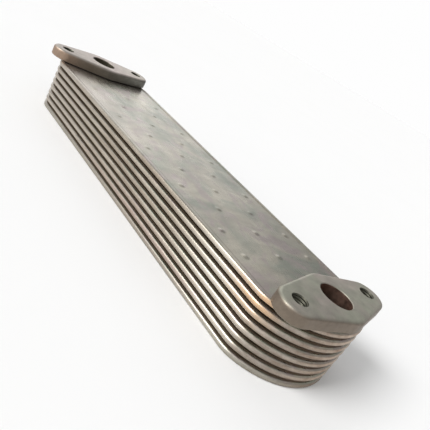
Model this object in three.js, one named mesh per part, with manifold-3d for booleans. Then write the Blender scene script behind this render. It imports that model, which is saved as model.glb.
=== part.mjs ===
// Brazed plate oil cooler, millimetres, +Z up, X along the length, origin under the centre.
// Eight flat oil elements lie one above another with open coolant gaps between them. Each is
// a pressed pan with its rim folded over a cover sheet, and holds a corrugated turbulator and
// a slotted ring round each port. Spacer rings join the elements at the two ports, the lowest
// pan is blind, and a tapped rhomboid flange is brazed over each port on top.
import * as THREE from 'three';
import { mergeVertices } from 'three/addons/utils/BufferGeometryUtils.js';
import Module from 'manifold-3d';

const wasm = await Module();
wasm.setup();

// Plate outline: straight sides, a small corner arc at each end of them, one broad nose arc.
const PLATE_LENGTH = 336;
const PLATE_WIDTH = 88;
const CORNER_RADIUS = 22;
const NOSE_RADIUS = 46;

// Stack. Heights are whole sixteenths of a millimetre, so brazed faces meet exactly.
const ELEMENT_COUNT = 8;
const SHEET = 0.5;
const OIL_SPACE = 1.75;
const COOLANT_GAP = 2.0625;
const LIP_WIDTH = 4;
const RIM_CHAMFER = 0.5;
const RIM_CLEARANCE = 0.3;
const ELEMENT_HEIGHT = SHEET + OIL_SPACE + SHEET + SHEET;
const PITCH = ELEMENT_HEIGHT + COOLANT_GAP;
const STACK_HEIGHT = (ELEMENT_COUNT - 1) * PITCH + ELEMENT_HEIGHT;

// Ports and the rings round them.
const PORT_SPACING = 298;
const PORT_RADIUS = 10;
const SPACER_RADIUS = 14.5;
const PORT_RING_RADIUS = 14;
const PORT_RING_CUTS = 3;
const PORT_RING_CUT_WIDTH = 3.5;
const PORT_RING_CUT_DEPTH = 0.875;

// Flanges: a rhomboid with round tips and a tapped M10 hole near each tip.
const FLANGE_THICKNESS = 8;
const FLANGE_WAIST_RADIUS = 19;
const FLANGE_TIP_RADIUS = 11.5;
const FLANGE_CHAMFER = 0.5;
const BOLT_SPACING = 70;
const BOLT_HOLE_RADIUS = 4.3;

// Turbulator: a lengthwise corrugation between the two ports.
const FIN_LENGTH = 260;
const FIN_WIDTH = 84;
const FIN_WAVES = 10;
const FIN_SHEET = 0.25;
const FIN_FLANK = 1.5;

// Dimples pressed outwards in the cover: columns of three and of two take turns from the
// outlet end, and the last column, beside the inlet flange, has three again.
const DIMPLE_COLUMNS = 10;
const DIMPLE_COLUMN_PITCH = 22.4;
const DIMPLE_ROW_PITCH = 31;
const DIMPLE_FIRST_X = -93.5;
const DIMPLE_RADIUS = 2.5;
const DIMPLE_CROWN_RADIUS = 1.25;
const DIMPLE_HEIGHT = 0.6;
const DIMPLE_SIDES = 8;

// Facets, and the play that cuts and merged points are given.
const NOSE_STEPS = 12;
const CORNER_STEPS = 2;
const PORT_SIDES = 20;
const RING_SIDES = 16;
const TIP_STEPS = 10;
const WAIST_STEPS = 2;
const CUT_MARGIN = 1;
const MERGE_DISTANCE = 1e-5;

const PORTS = { inlet: PORT_SPACING / 2, outlet: -PORT_SPACING / 2 };

const METALS = {
  plate: { color: 0xb3aea2, roughness: 0.35, metalness: 0.9 },
  fin: { color: 0x9a958a, roughness: 0.5, metalness: 0.9 },
  flange: { color: 0x9d9a93, roughness: 0.45, metalness: 0.9 },
  copper: { color: 0x8a4f35, roughness: 0.5, metalness: 0.9 },
};

// ---- outlines

function arcPoints(cx, cy, radius, from, to, steps) {
  const points = [];
  for (let i = 0; i <= steps; i++) {
    const angle = from + ((to - from) * i) / steps;
    points.push(new THREE.Vector2(cx + radius * Math.cos(angle), cy + radius * Math.sin(angle)));
  }
  return points;
}

function withoutRepeats(points) {
  return points.filter((p, i) => p.distanceTo(points[(i + 1) % points.length]) > MERGE_DISTANCE);
}

function halfTurned(points) {
  return points.map((p) => new THREE.Vector2(-p.x, -p.y));
}

// The three arcs of one end are tangent: corner, nose, corner. The other end is the same,
// half a turn round.
function plateOutline(inset) {
  const cornerY = PLATE_WIDTH / 2 - CORNER_RADIUS;
  const cornerRun = Math.sqrt((NOSE_RADIUS - CORNER_RADIUS) ** 2 - cornerY ** 2);
  const noseX = PLATE_LENGTH / 2 - NOSE_RADIUS;
  const cornerX = noseX + cornerRun;
  const turn = Math.atan2(cornerY, cornerRun);
  const corner = CORNER_RADIUS - inset;
  const end = [
    ...arcPoints(cornerX, -cornerY, corner, -Math.PI / 2, -turn, CORNER_STEPS),
    ...arcPoints(noseX, 0, NOSE_RADIUS - inset, -turn, turn, NOSE_STEPS),
    ...arcPoints(cornerX, cornerY, corner, turn, Math.PI / 2, CORNER_STEPS),
  ];
  return new THREE.Shape(withoutRepeats([...end, ...halfTurned(end)]));
}

// The hull of a waist circle and two tip circles.
function flangeOutline() {
  const slope = Math.asin((FLANGE_WAIST_RADIUS - FLANGE_TIP_RADIUS) / (BOLT_SPACING / 2));
  const half = [
    ...arcPoints(0, 0, FLANGE_WAIST_RADIUS, -slope, slope, WAIST_STEPS),
    ...arcPoints(0, BOLT_SPACING / 2, FLANGE_TIP_RADIUS, slope, Math.PI - slope, TIP_STEPS),
  ];
  return new THREE.Shape(withoutRepeats([...half, ...halfTurned(half)]));
}

function circle(cx, cy, radius, sides) {
  return arcPoints(cx, cy, radius, 0, 2 * Math.PI * (1 - 1 / sides), sides - 1);
}

// ---- solids

function toSolid(geometry) {
  geometry.deleteAttribute('normal');
  geometry.deleteAttribute('uv');
  const merged = mergeVertices(geometry, MERGE_DISTANCE);
  return new wasm.Manifold(new wasm.Mesh({
    numProp: 3,
    vertProperties: new Float32Array(merged.attributes.position.array),
    triVerts: new Uint32Array(merged.index.array),
  }));
}

function toGeometry(solid) {
  const mesh = solid.getMesh();
  const geometry = new THREE.BufferGeometry();
  geometry.setAttribute('position', new THREE.BufferAttribute(new Float32Array(mesh.vertProperties), 3));
  geometry.setIndex(new THREE.BufferAttribute(new Uint32Array(mesh.triVerts), 1));
  geometry.computeVertexNormals();
  return geometry;
}

function slab(shape, bottom, height) {
  const geometry = new THREE.ExtrudeGeometry(shape, { depth: height, bevelEnabled: false });
  return geometry.translate(0, 0, bottom);
}

function chamferedSlab(shape, bottom, height, chamfer) {
  const geometry = new THREE.ExtrudeGeometry(shape, {
    depth: height - 2 * chamfer,
    bevelThickness: chamfer,
    bevelSize: chamfer,
    bevelOffset: -chamfer,
    bevelSegments: 1,
  });
  return geometry.translate(0, 0, bottom + chamfer);
}

function drillPorts(solid) {
  let rest = solid;
  for (const x of Object.values(PORTS)) {
    const hole = new THREE.Shape(circle(x, 0, PORT_RADIUS, PORT_SIDES));
    rest = rest.subtract(toSolid(slab(hole, -CUT_MARGIN, PITCH + 2 * CUT_MARGIN)));
  }
  return rest;
}

function ringShape(radius, sides) {
  const shape = new THREE.Shape(circle(0, 0, radius, sides));
  shape.holes.push(new THREE.Path(circle(0, 0, PORT_RADIUS, sides)));
  return shape;
}

// ---- pieces, each with its underside at z = 0

// A shallow pan: floor, upright rim, and the rim's top folded in as a flat lip.
function panGeometry(blind) {
  const block = toSolid(chamferedSlab(plateOutline(0), 0, ELEMENT_HEIGHT, RIM_CHAMFER));
  const hollow = toSolid(slab(plateOutline(SHEET), SHEET, OIL_SPACE + SHEET));
  const mouth = toSolid(slab(plateOutline(LIP_WIDTH), SHEET, ELEMENT_HEIGHT));
  const pan = block.subtract(hollow).subtract(mouth);
  return toGeometry(blind ? pan : drillPorts(pan));
}

function dimplePlaces() {
  const places = [];
  for (let column = 0; column < DIMPLE_COLUMNS; column++) {
    const x = DIMPLE_FIRST_X + column * DIMPLE_COLUMN_PITCH;
    const full = column % 2 === 0 || column === DIMPLE_COLUMNS - 1;
    const rows = full ? [-1, 0, 1] : [-0.5, 0.5];
    rows.forEach((row) => places.push([x, row * DIMPLE_ROW_PITCH]));
  }
  return places;
}

// A frustum from half a sheet below the face it rises from up to the dimple's crown.
function dimpleSolid(x, y, bottom, baseRadius, crownRadius) {
  const height = SHEET / 2 + DIMPLE_HEIGHT;
  const cone = new THREE.CylinderGeometry(crownRadius, baseRadius, height, DIMPLE_SIDES);
  cone.rotateX(Math.PI / 2);
  cone.translate(x, y, bottom + height / 2);
  return toSolid(cone);
}

// A flat sheet that lies under the pan's lip. The outermost one has its dimples modelled.
function coverGeometry(dimpled) {
  let cover = drillPorts(toSolid(slab(plateOutline(SHEET + RIM_CLEARANCE), 0, SHEET)));
  if (!dimpled) return toGeometry(cover);
  for (const [x, y] of dimplePlaces()) {
    const rise = dimpleSolid(x, y, SHEET / 2, DIMPLE_RADIUS, DIMPLE_CROWN_RADIUS);
    const hollow = dimpleSolid(x, y, -SHEET / 2, DIMPLE_RADIUS - SHEET, DIMPLE_CROWN_RADIUS - SHEET);
    cover = cover.add(rise).subtract(hollow);
  }
  return toGeometry(cover);
}

// A corrugated strip: its section is drawn across the width and drawn out along the length.
function turbulatorGeometry() {
  const wave = FIN_WIDTH / FIN_WAVES;
  const crest = (wave - 2 * FIN_FLANK) / 2;
  const upper = [];
  for (let i = 0; i < FIN_WAVES; i++) {
    const start = -FIN_WIDTH / 2 + i * wave;
    upper.push([start, FIN_SHEET]);
    upper.push([start + crest, FIN_SHEET]);
    upper.push([start + crest + FIN_FLANK, OIL_SPACE]);
    upper.push([start + 2 * crest + FIN_FLANK, OIL_SPACE]);
  }
  upper.push([FIN_WIDTH / 2, FIN_SHEET]);
  const lower = upper.map(([y, z]) => [y, z - FIN_SHEET]).reverse();
  const section = new THREE.Shape([...upper, ...lower].map(([y, z]) => new THREE.Vector2(y, z)));
  const strip = new THREE.ExtrudeGeometry(section, { depth: FIN_LENGTH, bevelEnabled: false });
  strip.translate(0, 0, -FIN_LENGTH / 2);
  const lengthwise = new THREE.Matrix4().makeBasis(
    new THREE.Vector3(0, 1, 0), new THREE.Vector3(0, 0, 1), new THREE.Vector3(1, 0, 0));
  return strip.applyMatrix4(lengthwise);
}

// The ring that holds an element open round a port, with radial slots for the oil.
function portRingGeometry() {
  let ring = toSolid(slab(ringShape(PORT_RING_RADIUS, RING_SIDES), 0, OIL_SPACE));
  for (let i = 0; i < PORT_RING_CUTS; i++) {
    const length = 2 * (PORT_RING_RADIUS + CUT_MARGIN);
    const height = PORT_RING_CUT_DEPTH + CUT_MARGIN;
    const bar = new THREE.BoxGeometry(length, PORT_RING_CUT_WIDTH, height);
    bar.translate(0, 0, OIL_SPACE - PORT_RING_CUT_DEPTH + height / 2);
    bar.rotateZ((Math.PI * i) / PORT_RING_CUTS);
    ring = ring.subtract(toSolid(bar));
  }
  return toGeometry(ring);
}

function plainRingGeometry(radius, height) {
  return slab(ringShape(radius, RING_SIDES), 0, height);
}

function flangeGeometry() {
  const shape = flangeOutline();
  shape.holes.push(new THREE.Path(circle(0, 0, PORT_RADIUS, PORT_SIDES)));
  for (const side of [-1, 1]) {
    shape.holes.push(new THREE.Path(circle(0, (side * BOLT_SPACING) / 2, BOLT_HOLE_RADIUS, RING_SIDES)));
  }
  return chamferedSlab(shape, 0, FLANGE_THICKNESS, FLANGE_CHAMFER);
}

// ---- assembly

const cooler = new THREE.Group();

function place(name, geometry, metal, x, z) {
  const mesh = new THREE.Mesh(geometry, new THREE.MeshStandardMaterial(METALS[metal]));
  mesh.name = name;
  mesh.position.set(x, 0, z);
  cooler.add(mesh);
}

function addElement(number, bottom) {
  const lowest = number === 1;
  const highest = number === ELEMENT_COUNT;
  place(`element_${number}_pan`, panGeometry(lowest), 'plate', 0, bottom);
  place(`element_${number}_turbulator`, turbulatorGeometry(), 'fin', 0, bottom + SHEET);
  place(`element_${number}_cover`, coverGeometry(highest), 'plate', 0, bottom + SHEET + OIL_SPACE);
  for (const [port, x] of Object.entries(PORTS)) {
    place(`element_${number}_${port}_port_ring`, portRingGeometry(), 'fin', x, bottom + SHEET);
  }
}

// A spacer ring stands on a cover and carries the next pan, so it spans gap and lip.
function addSpacers(number, bottom) {
  const foot = bottom + ELEMENT_HEIGHT - SHEET;
  for (const [port, x] of Object.entries(PORTS)) {
    const name = `spacer_${number}_${number + 1}_${port}`;
    place(name, plainRingGeometry(SPACER_RADIUS, COOLANT_GAP + SHEET), 'copper', x, foot);
  }
}

for (let i = 0; i < ELEMENT_COUNT; i++) {
  addElement(i + 1, i * PITCH);
  if (i < ELEMENT_COUNT - 1) addSpacers(i + 1, i * PITCH);
}

// The flanges rest on the top lip, and a braze ring fills the step down to the cover.
for (const [port, x] of Object.entries(PORTS)) {
  place(`${port}_braze_ring`, plainRingGeometry(SPACER_RADIUS, SHEET), 'copper', x, STACK_HEIGHT - SHEET);
  place(`${port}_flange`, flangeGeometry(), 'flange', x, STACK_HEIGHT);
}

export default cooler;
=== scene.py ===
import math

import bpy
from mathutils import Matrix, Vector
from mathutils.geometry import delaunay_2d_cdt


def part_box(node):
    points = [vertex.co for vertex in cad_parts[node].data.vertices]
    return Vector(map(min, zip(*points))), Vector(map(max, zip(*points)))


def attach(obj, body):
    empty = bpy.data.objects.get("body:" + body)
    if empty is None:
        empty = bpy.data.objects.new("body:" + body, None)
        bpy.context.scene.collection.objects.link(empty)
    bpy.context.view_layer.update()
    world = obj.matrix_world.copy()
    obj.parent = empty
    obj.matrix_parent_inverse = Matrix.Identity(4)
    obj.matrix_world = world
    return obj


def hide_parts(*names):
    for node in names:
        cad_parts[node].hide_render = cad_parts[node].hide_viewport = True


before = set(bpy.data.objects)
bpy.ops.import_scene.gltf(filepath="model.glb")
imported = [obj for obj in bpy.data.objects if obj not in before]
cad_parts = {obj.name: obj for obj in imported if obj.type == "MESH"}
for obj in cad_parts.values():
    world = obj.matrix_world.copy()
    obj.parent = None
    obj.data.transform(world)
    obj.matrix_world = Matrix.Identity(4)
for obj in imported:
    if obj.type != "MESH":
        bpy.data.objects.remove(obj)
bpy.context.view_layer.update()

# Looks of a brazed stacked-plate oil cooler, built round its CAD frame. Metres, +Z up, X along
# the length. Each rigid sheet, ring and flange is a fine mesh that stands for its CAD node.

MM = 0.001

# ---- sizes, read from the frame where it has them

ELEMENT_COUNT = sum(name.endswith("_pan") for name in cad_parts)
PAN_LOW, PAN_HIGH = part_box("element_1_pan")
HALF_LENGTH = PAN_HIGH.x
HALF_WIDTH = PAN_HIGH.y
ELEMENT_HEIGHT = PAN_HIGH.z - PAN_LOW.z
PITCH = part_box("element_2_pan")[0].z - PAN_LOW.z
COVER_LOW, COVER_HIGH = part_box("element_1_cover")
SHEET = COVER_HIGH.z - COVER_LOW.z
COVER_INSET = HALF_LENGTH - COVER_HIGH.x
CORNER_RADIUS = 22 * MM
NOSE_RADIUS = 46 * MM
LIP_WIDTH = 4 * MM
PORT_RADIUS = 10 * MM
BOLT_OFFSET = 35 * MM
TIP_RADIUS = 11.5 * MM
DIMPLE_COLUMNS = 10
DIMPLE_COLUMN_PITCH = 22.4 * MM
DIMPLE_ROW_PITCH = 31 * MM
DIMPLE_FIRST_X = -93.5 * MM
DIMPLE_RADIUS = 3.1 * MM
DIMPLE_HEIGHT = 0.52 * MM
PORT_SIDES = 64
PORT_SLOTS = 6
SLOT_HALF_WIDTH = 1.75 * MM
FLANGE_TOP_ROUND = 2.3 * MM
FLANGE_FOOT_ROUND = 0.4 * MM
PORT_EDGE = 0.4 * MM
THREAD_PITCH = 1.5 * MM
THREAD_MAJOR = 4.75 * MM
THREAD_MINOR = 4.25 * MM
THREAD_FLANK_GAIN = 1.35
THREAD_CREST_FLAT = 0.12
COUNTERSINK = 4.8 * MM

# The pan's section: a rounded foot and crown, then a lip folded in over the cover. Its floor is
# flat from FLOOR_INSET inwards, and what lies further in than GAP_DEPTH has the gaps' dull steel,
# darkened as painted shade.
FOOT_ROUND = 0.75 * MM
CROWN_ROUND = 1.5 * MM
WALL_BULGE = 0.1 * MM
LIP_SLOPE = 1.1 * MM
LIP_DROP = 0.9 * SHEET
CAVITY_WALL = SHEET + 0.05 * MM
CAVITY_HEEL = 0.6 * MM
FLOOR_INSET = 7 * MM
GAP_DEPTH = 1.4 * MM


def middle_x(node):
    low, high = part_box(node)
    return (low.x + high.x) / 2


PORT_X = {"inlet": middle_x("inlet_flange"), "outlet": middle_x("outlet_flange")}


# ---- outlines: lists of (x, y), anticlockwise seen from above

def arc(cx, cy, radius, start, stop, steps):
    turn = (stop - start) / steps
    return [
        (cx + radius * math.cos(start + i * turn), cy + radius * math.sin(start + i * turn))
        for i in range(steps + 1)
    ]


def line(start, stop, steps):
    """Points between start and stop, without either of them."""
    return [
        tuple(a + (b - a) * i / steps for a, b in zip(start, stop)) for i in range(1, steps)
    ]


def half_turn(points):
    return [(-x, -y) for x, y in points]


def circle(cx, cy, radius, steps):
    return arc(cx, cy, radius, 0, 2 * math.pi, steps)[:-1]


def plate_outline(inset, nose_steps=56, corner_steps=10, side_steps=44):
    """Straight sides, a corner arc at each end of them and one broad nose arc, all tangent."""
    corner_y = HALF_WIDTH - CORNER_RADIUS
    corner_run = math.sqrt((NOSE_RADIUS - CORNER_RADIUS) ** 2 - corner_y**2)
    nose_x = HALF_LENGTH - NOSE_RADIUS
    corner_x = nose_x + corner_run
    turn = math.atan2(corner_y, corner_run)
    corner = CORNER_RADIUS - inset
    nose = NOSE_RADIUS - inset
    end = arc(corner_x, -corner_y, corner, -math.pi / 2, -turn, corner_steps)
    end += arc(nose_x, 0, nose, -turn, turn, nose_steps)[1:]
    end += arc(corner_x, corner_y, corner, turn, math.pi / 2, corner_steps)[1:]
    other = half_turn(end)
    side = line(end[-1], other[0], side_steps)
    return end + side + other + half_turn(side)


def flange_outline(inset, waist_radius, tip_steps=40, waist_steps=14, flank_steps=6):
    """The hull of a waist circle and two tip circles, drawn about the port."""
    slope = math.asin((waist_radius - TIP_RADIUS) / BOLT_OFFSET)
    waist = arc(0, 0, waist_radius - inset, -slope, slope, waist_steps)
    tip = arc(0, BOLT_OFFSET, TIP_RADIUS - inset, slope, math.pi - slope, tip_steps)
    flank = line(waist[-1], tip[0], flank_steps)
    back = half_turn(waist)
    half = waist + flank + tip + line(tip[-1], back[0], flank_steps)
    return half + half_turn(half)


# ---- closed meshes

WHOLE_HULL = 0
MERGE_DISTANCE = 0.0001 * MM


def fill(rings, loose=()):
    """Anticlockwise triangles inside the first ring and outside the others, which use the loose
    points too. Their indices count through the rings and then the loose points. The rings run
    anticlockwise, so a triangle with all three corners on one ring, in the ring's order, is inside
    that ring: right for the outline and wrong for a hole."""
    flat = [Vector(p) for ring in (*rings, loose) for p in ring]
    owner = []
    borders = []
    for number, ring in enumerate(rings):
        start = len(borders)
        borders += [(start + i, start + (i + 1) % len(ring)) for i in range(len(ring))]
        owner += [number] * len(ring)
    owner += [None] * len(loose)
    found = delaunay_2d_cdt(flat, borders, [], WHOLE_HULL, MERGE_DISTANCE)
    triangles, origins = found[2], found[3]
    kept = []
    for triangle in triangles:
        a, b, c = sorted(origins[i][0] for i in triangle)
        clockwise = (flat[b] - flat[a]).cross(flat[c] - flat[a]) < 0
        on_one_ring = owner[a] == owner[b] == owner[c] is not None
        if on_one_ring and clockwise == (owner[a] == 0):
            continue
        kept.append((a, c, b) if clockwise else (a, b, c))
    return kept


class Shell:
    """Collects the rings and faces of one closed body."""

    def __init__(self):
        self.points = []
        self.faces = []
        self.kinds = []

    def ring(self, outline, z):
        start = len(self.points)
        self.points += [(x, y, z) for x, y in outline]
        return list(range(start, len(self.points)))

    def add_face(self, face, kind=0):
        self.faces.append(face)
        self.kinds.append(kind)

    def bridge(self, lower, upper, kind=0):
        """Quads between two rings; they face outwards when upper is above lower."""
        for i, a in enumerate(lower):
            j = (i + 1) % len(lower)
            self.add_face((a, lower[j], upper[j], upper[i]), kind)

    def lathe(self, rings, kind=0):
        for lower, upper in zip(rings, rings[1:]):
            self.bridge(lower, upper, kind)

    def cap(self, outer, holes, up, kind=0):
        """A flat face inside one ring and outside the others."""
        rings = [outer, *holes]
        corners = [i for ring in rings for i in ring]
        for triangle in fill([[self.points[i][:2] for i in ring] for ring in rings]):
            face = tuple(corners[i] for i in triangle)
            self.add_face(face if up else face[::-1], kind)

    def build(self, name, materials, sharp_degrees=35):
        mesh = bpy.data.meshes.new(name)
        mesh.from_pydata(self.points, [], self.faces)
        for material in materials:
            mesh.materials.append(material)
        mesh.polygons.foreach_set("material_index", self.kinds)
        mesh.shade_smooth()
        mesh.set_sharp_from_angle(angle=math.radians(sharp_degrees))
        mesh.update()
        piece = bpy.data.objects.new(name, mesh)
        bpy.context.scene.collection.objects.link(piece)
        return piece


def stand_for(piece, node):
    """The piece rides on the one body, in place of its CAD node."""
    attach(piece, "root")
    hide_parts(node)


def bent(centre, radius, start, stop, steps):
    """A rounded stretch of a section, angles in degrees, as (inset, height) points."""
    return arc(*centre, radius, math.radians(start), math.radians(stop), steps)


def ease(share):
    """Goes from 0 to 1 with a level start and end."""
    return share * share * (3 - 2 * share)


def rim_section(height, round_steps=8, steps=6):
    """The pan's section from the floor's underside, round the rim, to the floor's upper face.
    Each point is (distance in from the outermost edge, height)."""
    foot_centre = (FOOT_ROUND + WALL_BULGE, FOOT_ROUND)
    crown_centre = (CROWN_ROUND + WALL_BULGE, height - CROWN_ROUND)
    outer = [(FLOOR_INSET, 0)]
    outer += bent(foot_centre, FOOT_ROUND, 270, 180, round_steps)
    for i in range(1, steps):
        share = i / steps
        z = FOOT_ROUND + (height - CROWN_ROUND - FOOT_ROUND) * share
        outer.append((WALL_BULGE * (1 - math.sin(math.pi * share)), z))
    outer += bent(crown_centre, CROWN_ROUND, 180, 90, round_steps)
    lip = []
    for i in range(steps + 1):
        share = i / steps
        lip.append((LIP_WIDTH - LIP_SLOPE * (1 - share), height - LIP_DROP * ease(share)))
    lip_under = height - SHEET
    lip.append((LIP_WIDTH, lip_under))
    heel = CAVITY_WALL + CAVITY_HEEL
    cavity = [
        (heel, lip_under), (CAVITY_WALL, lip_under - CAVITY_HEEL),
        (CAVITY_WALL, SHEET + CAVITY_HEEL), (heel, SHEET), (FLOOR_INSET, SHEET),
    ]
    return outer + lip + cavity


PLATE_FACE, GAP_FACE, BORE_FACE = 0, 1, 2


def make_pan(number, materials):
    node = f"element_{number}_pan"
    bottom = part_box(node)[0].z
    shell = Shell()
    section = rim_section(ELEMENT_HEIGHT)
    rings = [shell.ring(plate_outline(inset), bottom + z) for inset, z in section]
    uppermost = number == ELEMENT_COUNT
    for (a, b), (lower, upper) in zip(zip(section, section[1:]), zip(rings, rings[1:])):
        # Below the uppermost pan, faces deep in the gap get the gap steel's painted shade.
        hidden = min(a[0], b[0]) > GAP_DEPTH and not uppermost
        shell.bridge(lower, upper, GAP_FACE if hidden else PLATE_FACE)
    low_holes, high_holes = [], []
    if number > 1:
        for x in PORT_X.values():
            hole = circle(x, 0, PORT_RADIUS, PORT_SIDES)
            low_holes.append(shell.ring(hole, bottom))
            high_holes.append(shell.ring(hole, bottom + SHEET))
            shell.bridge(high_holes[-1], low_holes[-1], BORE_FACE)
    # The floors' faces in the gaps get the gap steel's painted shade too.
    shell.cap(rings[0], low_holes, False, GAP_FACE if number > 1 else PLATE_FACE)
    shell.cap(rings[-1], high_holes, True, GAP_FACE)
    piece = shell.build(f"pan_{number}", materials)
    stand_for(piece, node)


def dimple_places():
    """Columns of three and of two by turns, and three in the last one, by the inlet flange."""
    for column in range(DIMPLE_COLUMNS):
        x = DIMPLE_FIRST_X + column * DIMPLE_COLUMN_PITCH
        full = column % 2 == 0 or column == DIMPLE_COLUMNS - 1
        rows = (-1, 0, 1) if full else (-0.5, 0.5)
        for row in rows:
            yield x, row * DIMPLE_ROW_PITCH


def dimple_rise(distance):
    """A round-topped bump with a soft foot."""
    if distance >= DIMPLE_RADIUS:
        return 0.0
    return DIMPLE_HEIGHT * (1 + math.cos(math.pi * distance / DIMPLE_RADIUS)) / 2


def make_cover(number, materials):
    """A flat sheet with pressed dimples and two port holes. Each dimple has one flat ring more
    than it needs, which keeps the triangles round it small."""
    node = f"element_{number}_cover"
    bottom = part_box(node)[0].z
    uppermost = number == ELEMENT_COUNT
    sides, steps = (28, 8) if uppermost else (12, 4)
    rings = [plate_outline(COVER_INSET, nose_steps=40, corner_steps=6, side_steps=20)]
    rings += [circle(x, 0, PORT_RADIUS, PORT_SIDES) for x in PORT_X.values()]
    dimples = []
    rise = [0.0] * sum(len(ring) for ring in rings)
    for x, y in dimple_places():
        for step in range(1, steps + 2):
            radius = DIMPLE_RADIUS * step / steps
            dimples += circle(x, y, radius, sides)
            rise += [dimple_rise(radius)] * sides
        dimples.append((x, y))
        rise.append(DIMPLE_HEIGHT)
    flat = [p for ring in (*rings, dimples) for p in ring]
    under = len(flat)
    shell = Shell()
    shell.points = [(x, y, bottom + SHEET + h) for (x, y), h in zip(flat, rise)]
    shell.points += [(x, y, z - SHEET) for x, y, z in shell.points]
    # The lower covers' tops and every cover's underside get the gap steel's painted shade.
    for a, b, c in fill(rings, dimples):
        shell.add_face((a, b, c), PLATE_FACE if uppermost else GAP_FACE)
        shell.add_face((under + a, under + c, under + b), GAP_FACE)
    start = 0
    for ring in rings:
        upper = range(start, start + len(ring))
        lower = range(under + start, under + start + len(ring))
        shell.bridge(*((upper, lower) if start else (lower, upper)), BORE_FACE)
        start += len(ring)
    piece = shell.build(f"cover_{number}", materials)
    stand_for(piece, node)


# ---- rings round the ports

def make_ring(name, node, material, edge=0.15 * MM):
    """A plain ring round a port, with its edges broken."""
    low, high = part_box(node)
    x = (low.x + high.x) / 2
    outer = (high.x - low.x) / 2
    corners = [
        (outer - edge, low.z), (outer, low.z + edge),
        (outer, high.z - edge), (outer - edge, high.z),
        (PORT_RADIUS + edge, high.z), (PORT_RADIUS, high.z - edge),
        (PORT_RADIUS, low.z + edge), (PORT_RADIUS + edge, low.z),
    ]
    shell = Shell()
    rings = [shell.ring(circle(x, 0, radius, 72), z) for radius, z in corners]
    shell.lathe(rings + rings[:1])
    piece = shell.build(name, [material])
    stand_for(piece, node)


def make_port_ring(name, node, material, steps=12):
    """A ring with six open slots in its upper half; angles step evenly in slots and teeth."""
    low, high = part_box(node)
    x = (low.x + high.x) / 2
    outer = (high.x - low.x) / 2
    half_slot = math.asin(SLOT_HALF_WIDTH / outer)
    half_tooth = math.pi / PORT_SLOTS - half_slot
    angles = []
    open_above = []
    for sector in range(PORT_SLOTS):
        centre = 2 * math.pi * sector / PORT_SLOTS
        for i in range(2):
            angles.append(centre - half_slot + i * half_slot)
            open_above.append(True)
        for i in range(steps):
            angles.append(centre + half_slot + 2 * half_tooth * i / steps)
            open_above.append(False)
    levels = (low.z, (low.z + high.z) / 2, high.z)
    shell = Shell()

    def ring(radius, z):
        return shell.ring([(x + radius * math.cos(a), radius * math.sin(a)) for a in angles], z)

    inner = [ring(PORT_RADIUS, z) for z in levels]
    rim = [ring(outer, z) for z in levels]
    shell.bridge(inner[0], rim[0])
    shell.bridge(rim[0], rim[1])
    shell.bridge(inner[1], inner[0])
    for i, slot in enumerate(open_above):
        j = (i + 1) % len(angles)
        top = 1 if slot else 2
        shell.add_face((rim[top][i], rim[top][j], inner[top][j], inner[top][i]))
        if not slot:
            shell.add_face((rim[1][i], rim[1][j], rim[2][j], rim[2][i]))
            shell.add_face((inner[2][i], inner[2][j], inner[1][j], inner[1][i]))
        if slot and not open_above[i - 1]:
            shell.add_face((inner[1][i], inner[2][i], rim[2][i], rim[1][i]))
        if not slot and open_above[i - 1]:
            shell.add_face((inner[1][i], rim[1][i], rim[2][i], inner[2][i]))
    # The corners above the slots belong to no face.
    used = sorted({i for face in shell.faces for i in face})
    place = {old: new for new, old in enumerate(used)}
    shell.points = [shell.points[i] for i in used]
    shell.faces = [tuple(place[i] for i in face) for face in shell.faces]
    piece = shell.build(name, [material])
    stand_for(piece, node)


# ---- flanges

FLANGE_FACE, PORT_WALL, THREAD_WALL = 0, 1, 2


def thread_radius(angle, height, bottom, top):
    """The wall of a tapped hole: a thread with flattened roots and crests, which runs out in a
    countersink at each end."""
    phase = (height / THREAD_PITCH - angle / (2 * math.pi)) % 1
    flank = abs(2 * phase - 1)
    share = min(1, max(0, THREAD_FLANK_GAIN * flank - THREAD_CREST_FLAT))
    thread = THREAD_MINOR + (THREAD_MAJOR - THREAD_MINOR) * share
    sink = COUNTERSINK - min(top - height, height - bottom)
    return max(thread, sink)


def add_tapped_hole(shell, x, y, bottom, top, sides=48, rows=72):
    """The wall of the hole; gives its lowest and highest ring."""
    rings = []
    for row in range(rows + 1):
        z = bottom + (top - bottom) * row / rows
        wall = []
        for side in range(sides):
            angle = 2 * math.pi * side / sides
            radius = thread_radius(angle, z, bottom, top)
            wall.append((x + radius * math.cos(angle), y + radius * math.sin(angle)))
        rings.append(shell.ring(wall, z))
    rings.reverse()
    shell.lathe(rings, THREAD_WALL)
    return rings[-1], rings[0]


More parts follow.
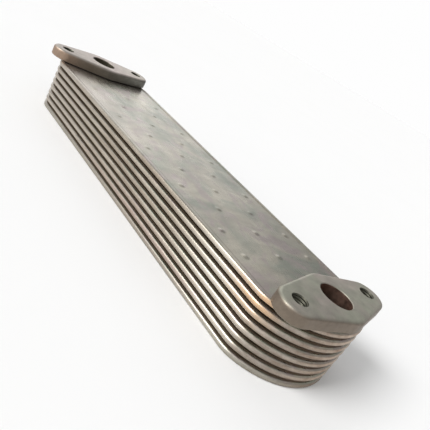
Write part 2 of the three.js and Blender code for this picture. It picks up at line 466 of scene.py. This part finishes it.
def make_flange(port, materials):
    node = f"{port}_flange"
    low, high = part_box(node)
    x = PORT_X[port]
    waist = (high.x - low.x) / 2
    shell = Shell()
    top_centre = (FLANGE_TOP_ROUND, high.z - FLANGE_TOP_ROUND)
    section = [(FLANGE_FOOT_ROUND, low.z), (0, low.z + FLANGE_FOOT_ROUND)]
    section += bent(top_centre, FLANGE_TOP_ROUND, 180, 90, 8)
    rings = []
    for inset, z in section:
        outline = flange_outline(inset, waist)
        rings.append(shell.ring([(x + u, v) for u, v in outline], z))
    shell.lathe(rings, FLANGE_FACE)
    bore = [(PORT_RADIUS + PORT_EDGE, high.z), (PORT_RADIUS, high.z - PORT_EDGE)]
    bore += [(PORT_RADIUS, low.z + FLANGE_FOOT_ROUND), (PORT_RADIUS + FLANGE_FOOT_ROUND, low.z)]
    bore_rings = [shell.ring(circle(x, 0, radius, 80), z) for radius, z in bore]
    shell.bridge(bore_rings[0], bore_rings[1], FLANGE_FACE)
    shell.lathe(bore_rings[1:], PORT_WALL)
    lows, highs = [bore_rings[-1]], [bore_rings[0]]
    for y in (-BOLT_OFFSET, BOLT_OFFSET):
        lowest, highest = add_tapped_hole(shell, x, y, low.z, high.z)
        lows.append(lowest)
        highs.append(highest)
    shell.cap(rings[0], lows, False, FLANGE_FACE)
    shell.cap(rings[-1], highs, True, FLANGE_FACE)
    piece = shell.build(f"flange_{port}", materials, sharp_degrees=40)
    stand_for(piece, node)


# ---- materials

def add(tree, kind, inputs=None, **settings):
    """A node with its settings, and its inputs set or linked."""
    made = tree.nodes.new(kind)
    for key, value in settings.items():
        setattr(made, key, value)
    for key, value in (inputs or {}).items():
        if isinstance(value, bpy.types.NodeSocket):
            tree.links.new(value, made.inputs[key])
        else:
            made.inputs[key].default_value = value
    return made


def noise(tree, where, scale, detail=4.0, roughness=0.55, distortion=0.0):
    """Cloudy noise; scale is how many blobs there are to a metre."""
    inputs = {"Vector": where, "Scale": scale, "Detail": detail}
    inputs.update({"Roughness": roughness, "Distortion": distortion})
    return add(tree, "ShaderNodeTexNoise", inputs).outputs["Fac"]


def streaks(tree, where, scales, detail=4.0, roughness=0.55, distortion=0.0):
    """Noise with its own scale along X, Y and Z."""
    mapped = add(tree, "ShaderNodeMapping", {"Vector": where, "Scale": scales})
    return noise(tree, mapped.outputs["Vector"], 1.0, detail, roughness, distortion)


def spread(tree, value, low, high, to_low=0.0, to_high=1.0):
    """Maps low..high of a value to to_low..to_high, held at the ends."""
    inputs = {"Value": value, "From Min": low, "From Max": high}
    inputs.update({"To Min": to_low, "To Max": to_high})
    return add(tree, "ShaderNodeMapRange", inputs).outputs["Result"]


def calculate(tree, operation, *values):
    inputs = dict(enumerate(values))
    return add(tree, "ShaderNodeMath", inputs, operation=operation).outputs[0]


def times(tree, *values):
    product = values[0]
    for value in values[1:]:
        product = calculate(tree, "MULTIPLY", product, value)
    return product


def mix(tree, factor, first, second):
    """Two numbers, mixed."""
    inputs = {0: factor, 2: first, 3: second}
    return add(tree, "ShaderNodeMix", inputs, data_type="FLOAT").outputs[0]


def blend(tree, factor, first, second, mode="MIX"):
    """Two colours, mixed or multiplied."""
    inputs = {0: factor, 6: first, 7: second}
    made = add(tree, "ShaderNodeMix", inputs, data_type="RGBA", blend_type=mode)
    return made.outputs[2]


def colour(red, green, blue):
    return (red, green, blue, 1.0)


def start_material(name):
    material = bpy.data.materials.new(name)
    material.use_nodes = True
    tree = material.node_tree
    where = add(tree, "ShaderNodeTexCoord").outputs["Object"]
    shader = tree.nodes["Principled BSDF"]
    return material, tree, where, shader


def finish_metal(tree, shader, base, rough, relief, relief_depth, metallic=1.0):
    tree.links.new(base, shader.inputs["Base Color"])
    tree.links.new(rough, shader.inputs["Roughness"])
    shader.inputs["Metallic"].default_value = metallic
    inputs = {"Height": relief, "Strength": 1.0, "Distance": relief_depth}
    bump = add(tree, "ShaderNodeBump", inputs)
    tree.links.new(bump.outputs["Normal"], shader.inputs["Normal"])


def split(tree, vector):
    """The X, Y and Z of a vector."""
    return add(tree, "ShaderNodeSeparateXYZ", {"Vector": vector}).outputs[:3]


def wall_share(tree):
    """1 on upright faces, 0 on level ones."""
    normal = add(tree, "ShaderNodeNewGeometry").outputs["Normal"]
    level = calculate(tree, "ABSOLUTE", split(tree, normal)[2])
    return spread(tree, level, 0.35, 0.9, 1.0, 0.0)


# Where the sheets' finish, painted light and painted shade change, as (from, to): it isn't there
# yet at the first place and is whole at the second. Far is the outlet's end, -X; near is the
# inlet's end, +X; the front is -Y.

TOWARDS_FAR_FLANGE = (-116 * MM, -130 * MM)
PAST_FAR_FLANGE = (-105 * MM, -75 * MM)
TOWARDS_NEAR_FLANGE = (88 * MM, 118 * MM)
TOWARDS_FRONT = (-12 * MM, -40 * MM)
TOWARDS_FAR_HALF = (20 * MM, -60 * MM)
SEAM_INNER_SIDE = (38.8 * MM, 39.6 * MM)
SEAM_OUTER_SIDE = (40.6 * MM, 40.0 * MM)
FAR_RIMS = (-30 * MM, -110 * MM)
HIGHLIGHT_RIMS_START = (55 * MM, 105 * MM)
HIGHLIGHT_RIMS_END = (150 * MM, 125 * MM)
LOWER_RIMS = (17 * MM, 7 * MM)
LOWER_RIMS_START = (-80 * MM, 10 * MM)
LOWER_RIMS_END = (120 * MM, 85 * MM)
NOSE_RIMS = (124 * MM, 148 * MM)
NOSE_BACK = (-35 * MM, 0.0)
LOWEST_RIM = (5 * MM, 2 * MM)
SINGED_RIM = (7 * MM, 4 * MM)
SINGED_BACK = (-25 * MM, 0.0)
SINGED_NOSE = (130 * MM, 150 * MM)
RIM_FOOT = (1.5 * MM, 0.2 * MM)
STRAW_START = (110 * MM, 130 * MM)
STRAW_END = (154 * MM, 140 * MM)
STRAW_RIMS = (16 * MM, 34 * MM)
STRAW_FRONT = (-10 * MM, -30 * MM)
GAP_NOSE = (145 * MM, 162 * MM)


def sheet_top(tree, where):
    """Satin steel in warm, cool and rosy clouds, darkest beside the far flange with a painted
    shadow, with a dark seam where the rim is folded over the cover."""
    along, across, _ = split(tree, where)
    warm = colour(0.52, 0.485, 0.405)
    cool = colour(0.355, 0.37, 0.31)
    rosy = colour(0.46, 0.40, 0.375)
    tanned = colour(0.53, 0.475, 0.425)
    seam_brown = colour(0.17, 0.14, 0.10)
    cloud = spread(tree, noise(tree, where, 30.0, 4.0, 0.5, 1.0), 0.40, 0.62)
    patch = spread(tree, noise(tree, where, 52.0, 3.0, 0.5, 1.5), 0.48, 0.66)
    top = blend(tree, patch, blend(tree, cloud, warm, cool), rosy)
    wiping = streaks(tree, where, (90.0, 40.0, 40.0), 3.0, 0.5, 1.2)
    wipe = spread(tree, wiping, 0.35, 0.65, 0.88, 1.06)
    top = blend(tree, 1.0, top, wipe, "MULTIPLY")
    # Painted shadow of the far flange on the sheet beside it.
    painted_shade = spread(tree, along, *TOWARDS_FAR_FLANGE, 1.0, 0.6)
    # Painted shade past the far flange and painted light towards the near flange, along the top.
    far_shade = spread(tree, along, *PAST_FAR_FLANGE, 1.0, 0.9)
    near_painted_light = spread(tree, along, *TOWARDS_NEAR_FLANGE, 1.0, 1.2)
    top = blend(tree, 1.0, top, times(tree, painted_shade, times(tree, far_shade, near_painted_light)), "MULTIPLY")
    front = spread(tree, across, *TOWARDS_FRONT, 0.0, 0.6)
    top = blend(tree, times(tree, front, spread(tree, along, *TOWARDS_FAR_HALF)), top, tanned)
    off_centre = calculate(tree, "ABSOLUTE", across)
    seam_start = spread(tree, off_centre, *SEAM_INNER_SIDE)
    seam_end = spread(tree, off_centre, *SEAM_OUTER_SIDE)
    return blend(tree, times(tree, seam_start, seam_end, 0.45), top, seam_brown)


def sheet_rims(tree, where):
    """Brownish rims with runs of braze: paler at the far end, with a painted highlight before the
    near nose, scorched round it and pinkish low down."""
    along, across, height = split(tree, where)
    pale_brown = colour(0.52, 0.468, 0.39)
    brown = colour(0.40, 0.34, 0.27)
    far_pale = colour(0.56, 0.515, 0.46)
    # bright is the colour of the painted highlight on the rims before the near nose.
    bright = colour(0.68, 0.625, 0.54)
    pinkish = colour(0.50, 0.395, 0.345)
    pale_ash = colour(0.44, 0.395, 0.345)
    dark_ash = colour(0.28, 0.225, 0.185)
    pale_tan = colour(0.52, 0.41, 0.315)
    dark_tan = colour(0.30, 0.195, 0.13)
    foot_grey = colour(0.34, 0.335, 0.285)
    singed_brown = colour(0.27, 0.19, 0.14)

    run = spread(tree, streaks(tree, where, (30.0, 60.0, 160.0), 5.0, 0.65), 0.38, 0.62)
    rim = blend(tree, run, pale_brown, brown)
    rim = blend(tree, spread(tree, along, *FAR_RIMS, 0.0, 0.5), rim, far_pale)
    # Painted highlight: the rims before the near nose are painted bright.
    painted_highlight = spread(tree, along, *HIGHLIGHT_RIMS_START, 0.0, 0.8)
    painted_highlight = times(tree, painted_highlight, spread(tree, along, *HIGHLIGHT_RIMS_END))
    rim = blend(tree, painted_highlight, rim, bright)
    low = spread(tree, height, *LOWER_RIMS, 0.0, 0.7)
    low = times(tree, low, spread(tree, along, *LOWER_RIMS_START))
    low = times(tree, low, spread(tree, along, *LOWER_RIMS_END))
    rim = blend(tree, low, rim, pinkish)

    blotch = spread(tree, streaks(tree, where, (75.0, 75.0, 190.0), 5.0, 0.7), 0.4, 0.62)
    ashen = blend(tree, blotch, pale_ash, dark_ash)
    tan = blend(tree, blotch, pale_tan, dark_tan)
    scorched = blend(tree, spread(tree, across, *NOSE_BACK), ashen, tan)
    rim = blend(tree, spread(tree, along, *NOSE_RIMS), rim, scorched)
    rim = blend(tree, spread(tree, height, *LOWEST_RIM, 0.0, 0.6), rim, foot_grey)
    singed = spread(tree, height, *SINGED_RIM, 0.0, 0.75)
    singed = times(tree, singed, spread(tree, across, *SINGED_BACK))
    singed = times(tree, singed, spread(tree, along, *SINGED_NOSE))
    rim = blend(tree, singed, rim, singed_brown)
    return rim, painted_highlight


def plate_steel():
    """Stainless sheet after furnace brazing: satin and mottled on top, browner on the rims, which
    are darkest at their foot with painted shade and straw-coloured before the near nose."""
    material, tree, where, shader = start_material("plate_steel")
    along, across, height = split(tree, where)
    foot_shade_brown = colour(0.20, 0.15, 0.105)
    straw_gold = colour(0.64, 0.44, 0.275)
    wall = wall_share(tree)
    rims, painted_highlight = sheet_rims(tree, where)
    base = blend(tree, wall, sheet_top(tree, where), rims)

    # Painted shade at the foot of each rim, above the gap below it; weaker under the painted
    # highlight.
    inside_pitch = calculate(tree, "MODULO", height, PITCH)
    foot = times(tree, spread(tree, inside_pitch, *RIM_FOOT, 0.0, 0.6), wall)
    foot = times(tree, foot, spread(tree, painted_highlight, 0.0, 0.8, 1.0, 0.3))
    base = blend(tree, foot, base, foot_shade_brown)
    straw = times(tree, spread(tree, along, *STRAW_START), spread(tree, along, *STRAW_END))
    straw = times(tree, straw, spread(tree, height, *STRAW_RIMS))
    straw = times(tree, straw, spread(tree, across, *STRAW_FRONT))
    ragged = spread(tree, noise(tree, where, 55.0, 4.0), 0.35, 0.6)
    base = blend(tree, times(tree, straw, ragged, wall), base, straw_gold)
    speckle = spread(tree, noise(tree, where, 800.0, 3.0, 0.7), 0.3, 0.75, 0.88, 1.06)
    base = blend(tree, 1.0, base, speckle, "MULTIPLY")

    top_smear = streaks(tree, where, (60.0, 160.0, 60.0), 4.0, 0.6)
    rim_smear = streaks(tree, where, (60.0, 60.0, 200.0), 5.0, 0.65)
    top_rough = spread(tree, top_smear, 0.3, 0.7, 0.23, 0.36)
    rim_rough = spread(tree, rim_smear, 0.3, 0.7, 0.36, 0.48)
    rough = mix(tree, wall, top_rough, rim_rough)
    top_grain = streaks(tree, where, (50.0, 170.0, 50.0), 2.0, 0.5)
    rim_grain = streaks(tree, where, (50.0, 50.0, 420.0), 3.0, 0.6)
    grain = mix(tree, wall, top_grain, rim_grain)
    finish_metal(tree, shader, base, rough, grain, 0.01 * MM, 0.93)
    return material


def gap_shade_steel():
    """The sheets' faces inside the coolant gaps and elements: dull and oxidised, and darkened
    further as painted shade; the painted shade is lighter and tanner round the nose.
    """
    material, tree, where, shader = start_material("gap_shade_steel")
    dark = colour(0.105, 0.076, 0.045)
    pale = colour(0.155, 0.113, 0.07)
    nose_tan = colour(0.34, 0.245, 0.18)
    base = blend(tree, noise(tree, where, 60.0, 5.0, 0.6), dark, pale)
    base = blend(tree, spread(tree, split(tree, where)[0], *GAP_NOSE), base, nose_tan)
    rough = spread(tree, noise(tree, where, 300.0), 0.3, 0.7, 0.5, 0.7)
    finish_metal(tree, shader, base, rough, noise(tree, where, 900.0), 0.02 * MM, 0.2)
    return material


# Where the flanges' finish, painted light and painted shade change, in the same way.

FAR_END = (50 * MM, -50 * MM)
ASHEN_WALL = (-20 * MM, 20 * MM)
TANNED_WALL = (-24 * MM, -42 * MM)
SHADED_BACK_WALL = (30 * MM, 43 * MM)
PAINTED_LIGHT_BACK = (-30 * MM, 30 * MM)


def flange_steel():
    """Pressed and machined steel: greyer than the sheets, faintly stained, brown on its walls, its
    top painted lighter towards the back as painted light. The far flange is warmer on top, and its
    walls go from tan in front to a painted shade behind."""
    material, tree, where, shader = start_material("flange_steel")
    along, across, _ = split(tree, where)
    grey = colour(0.45, 0.45, 0.37)
    rosy = colour(0.50, 0.445, 0.40)
    far_rosy = colour(0.53, 0.46, 0.435)
    dark_brown = colour(0.175, 0.142, 0.11)
    pale_brown = colour(0.27, 0.222, 0.175)
    ash = colour(0.225, 0.217, 0.186)
    tan = colour(0.36, 0.262, 0.195)
    painted_shade = colour(0.125, 0.12, 0.104)
    far = spread(tree, along, *FAR_END)
    cloud = spread(tree, noise(tree, where, 38.0, 5.0, 0.6, 0.6), 0.4, 0.62)
    top = blend(tree, cloud, grey, rosy)
    top = blend(tree, times(tree, far, 0.6), top, far_rosy)
    # Painted light: the flange tops are painted lighter towards the back.
    paler = spread(tree, across, *PAINTED_LIGHT_BACK, 0.95, 1.14)
    top = blend(tree, 1.0, top, paler, "MULTIPLY")
    wall = blend(tree, noise(tree, where, 70.0, 4.0), dark_brown, pale_brown)
    # The far flange's walls take ash and tan tints, and a painted shade behind.
    for zone, tint in ((ASHEN_WALL, ash), (TANNED_WALL, tan), (SHADED_BACK_WALL, painted_shade)):
        wall = blend(tree, times(tree, far, spread(tree, across, *zone)), wall, tint)
    base = blend(tree, wall_share(tree), top, wall)
    stain = spread(tree, noise(tree, where, 170.0, 5.0, 0.65), 0.3, 0.8, 0.80, 1.1)
    base = blend(tree, 1.0, base, stain, "MULTIPLY")
    rough = spread(tree, noise(tree, where, 220.0, 4.0), 0.3, 0.7, 0.42, 0.58)
    finish_metal(tree, shader, base, rough, noise(tree, where, 500.0, 5.0, 0.65), 0.07 * MM, 0.9)
    return material


def copper_braze():
    """Copper braze in the ports and round the rings: red brown, duller at the far end."""
    material, tree, where, shader = start_material("copper_braze")
    red = colour(0.32, 0.19, 0.145)
    brown = colour(0.165, 0.115, 0.088)
    dull = colour(0.15, 0.135, 0.095)
    base = blend(tree, spread(tree, noise(tree, where, 90.0, 5.0), 0.35, 0.65), red, brown)
    base = blend(tree, spread(tree, split(tree, where)[0], *FAR_END), base, dull)
    rough = spread(tree, noise(tree, where, 400.0), 0.3, 0.7, 0.38, 0.6)
    finish_metal(tree, shader, base, rough, noise(tree, where, 700.0), 0.06 * MM)
    return material


def thread_steel():
    """The cut threads: dark."""
    material, tree, where, shader = start_material("thread_steel")
    dark = colour(0.075, 0.073, 0.056)
    pale = colour(0.15, 0.147, 0.118)
    base = blend(tree, noise(tree, where, 250.0), dark, pale)
    rough = spread(tree, noise(tree, where, 500.0), 0.3, 0.7, 0.42, 0.6)
    finish_metal(tree, shader, base, rough, noise(tree, where, 1500.0), 0.03 * MM)
    return material


def fin_steel():
    """The turbulators and slotted rings inside the elements."""
    material, tree, where, shader = start_material("fin_steel")
    dark = colour(0.33, 0.30, 0.26)
    pale = colour(0.42, 0.39, 0.34)
    base = blend(tree, noise(tree, where, 80.0), dark, pale)
    rough = spread(tree, noise(tree, where, 300.0), 0.3, 0.7, 0.4, 0.6)
    finish_metal(tree, shader, base, rough, noise(tree, where, 900.0), 0.03 * MM)
    return material


def floor_white():
    material, tree, where, shader = start_material("floor_white")
    dark = colour(0.915, 0.915, 0.91)
    pale = colour(0.935, 0.935, 0.935)
    base = blend(tree, noise(tree, where, 6.0), dark, pale)
    tree.links.new(base, shader.inputs["Base Color"])
    shader.inputs["Roughness"].default_value = 0.9
    shader.inputs["Specular IOR Level"].default_value = 0.0
    return material


# ---- stage

CAMERA_PLACE = Vector((0.2284, -0.2219, 0.1396))
CAMERA_TARGET = Vector((0.0389, 0.0151, 0.0200))
CAMERA_ROLL = math.radians(31.3)
CAMERA_LENS = 38.56
FLOOR_DROP = 0.2 * MM
FLOOR_RADII = (20.0, 5.0, 1.0)


def add_camera():
    data = bpy.data.cameras.new("camera")
    data.lens = CAMERA_LENS
    data.sensor_width = 36.0
    data.clip_start = 0.01
    data.clip_end = 100.0
    camera = bpy.data.objects.new("camera", data)
    place = Matrix.Translation(CAMERA_PLACE)
    aim = (CAMERA_TARGET - CAMERA_PLACE).to_track_quat("-Z", "Y").to_matrix().to_4x4()
    camera.matrix_world = place @ aim @ Matrix.Rotation(CAMERA_ROLL, 4, "Z")
    bpy.context.scene.collection.objects.link(camera)
    bpy.context.scene.camera = camera


def add_floor():
    """A wide round floor, just below the object."""
    shell = Shell()
    rings = [shell.ring(circle(0, 0, radius, 64), -FLOOR_DROP) for radius in FLOOR_RADII]
    shell.lathe(rings)
    shell.cap(rings[-1], [], True)
    floor = shell.build("floor", [floor_white()])


def add_sun(name, azimuth, elevation, strength, width_degrees):
    """A broad soft light that comes from the given compass direction and height."""
    data = bpy.data.lights.new(name, "SUN")
    data.energy = strength
    data.angle = math.radians(width_degrees)
    light = bpy.data.objects.new(name, data)
    a, e = math.radians(azimuth), math.radians(elevation)
    towards = Vector((math.cos(a) * math.cos(e), math.sin(a) * math.cos(e), math.sin(e)))
    light.matrix_world = towards.to_track_quat("Z", "Y").to_matrix().to_4x4()
    bpy.context.scene.collection.objects.link(light)


WINDOW_WAY = Vector((-0.90, 0.35, 0.25)).normalized()
WINDOW_STRENGTH = 1.05
BACKDROP_STRENGTH = 0.99


def add_world():
    """A pale studio with a broad bright window beyond the far end. The camera itself sees a plain
    white backdrop."""
    world = bpy.data.worlds.new("studio")
    world.use_nodes = True
    tree = world.node_tree
    tree.nodes.clear()
    where = add(tree, "ShaderNodeTexCoord").outputs["Generated"]
    room = spread(tree, split(tree, where)[2], 0.3, 0.8, 0.34, 0.42)
    inputs = {0: where, 1: WINDOW_WAY}
    facing = add(tree, "ShaderNodeVectorMath", inputs, operation="DOT_PRODUCT").outputs["Value"]
    window = spread(tree, facing, 0.72, 1.0, 0.0, WINDOW_STRENGTH)
    seen = add(tree, "ShaderNodeLightPath").outputs["Is Camera Ray"]
    strength = mix(tree, seen, calculate(tree, "ADD", room, window), BACKDROP_STRENGTH)
    inputs = {"Color": colour(1.0, 1.0, 1.0), "Strength": strength}
    background = add(tree, "ShaderNodeBackground", inputs)
    add(tree, "ShaderNodeOutputWorld", {"Surface": background.outputs[0]})
    bpy.context.scene.world = world


# ---- build

add_camera()
PLATE = plate_steel()
GAP = gap_shade_steel()
COPPER = copper_braze()
FIN = fin_steel()
SHEET_METALS = [PLATE, GAP, COPPER]
for number in range(1, ELEMENT_COUNT + 1):
    make_pan(number, SHEET_METALS)
    make_cover(number, SHEET_METALS)
    for port in PORT_X:
        make_port_ring(f"port_ring_{number}_{port}", f"element_{number}_{port}_port_ring", FIN)
        if number < ELEMENT_COUNT:
            spacer = f"spacer_{number}_{number + 1}_{port}"
            make_ring(f"{spacer}_ring", spacer, COPPER)
FLANGE_METALS = [flange_steel(), COPPER, thread_steel()]
for port in PORT_X:
    make_ring(f"braze_ring_{port}", f"{port}_braze_ring", COPPER, 0.1 * MM)
    make_flange(port, FLANGE_METALS)
for name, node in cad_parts.items():
    if name.endswith("_turbulator"):
        node.data.materials.clear()
        node.data.materials.append(FIN)

add_floor()
add_world()
add_sun("key", azimuth=250, elevation=40, strength=2.3, width_degrees=28)
add_sun("softbox", azimuth=257, elevation=12, strength=0.75, width_degrees=52)
add_sun("front", azimuth=320, elevation=14, strength=0.7, width_degrees=70)
bpy.context.scene.view_settings.view_transform = "Standard"
